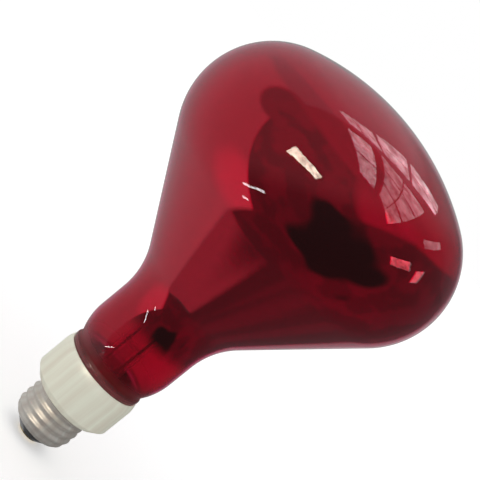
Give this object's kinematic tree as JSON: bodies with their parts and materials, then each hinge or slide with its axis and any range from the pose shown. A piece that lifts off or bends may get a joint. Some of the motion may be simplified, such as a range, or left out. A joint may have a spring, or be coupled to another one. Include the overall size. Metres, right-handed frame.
{
  "type": "infrared heat lamp bulb",
  "caption": "Ruby glass reflector heat lamp with a flared body, domed face, pinched neck and skirted screw cap, the filament mount set inside the glass.",
  "frame": {"origin": "tip of the centre contact, on the lamp's axis", "axes": "+Z along the lamp's axis from the cap to the face; +X towards the side contact's solder"},
  "size_m": [0.125, 0.125, 0.189],
  "materials": {
    "ruby_glass": "glossy, mirrored inside from the neck to the shoulder",
    "clear_glass": "glossy",
    "lead_wire": "satin",
    "filament_wire": "satin",
    "shield_sheet": "satin",
    "cement": "matt",
    "skirt_sheet": "satin",
    "shell_sheet": "satin",
    "insulator_glass": "glossy black",
    "contact_brass": "satin",
    "solder": "satin"
  },
  "bodies": {
    "root": {"glass_bulb": "ruby_glass", "stem_glass": "clear_glass", "exhaust_tube": "clear_glass", "arbor_rod": "clear_glass", "contact_lead": "lead_wire", "side_lead": "lead_wire", "filament": "filament_wire", "support_wire_1": "lead_wire", "support_wire_2": "lead_wire", "support_wire_3": "lead_wire", "support_wire_4": "lead_wire", "support_wire_5": "lead_wire", "heat_shield": "shield_sheet", "basing_cement": "cement", "cap_skirt": "skirt_sheet", "screw_shell": "shell_sheet", "cap_insulator": "insulator_glass", "centre_contact": "contact_brass", "contact_solder": "solder", "side_solder": "solder"}
  },
  "joints": []
}
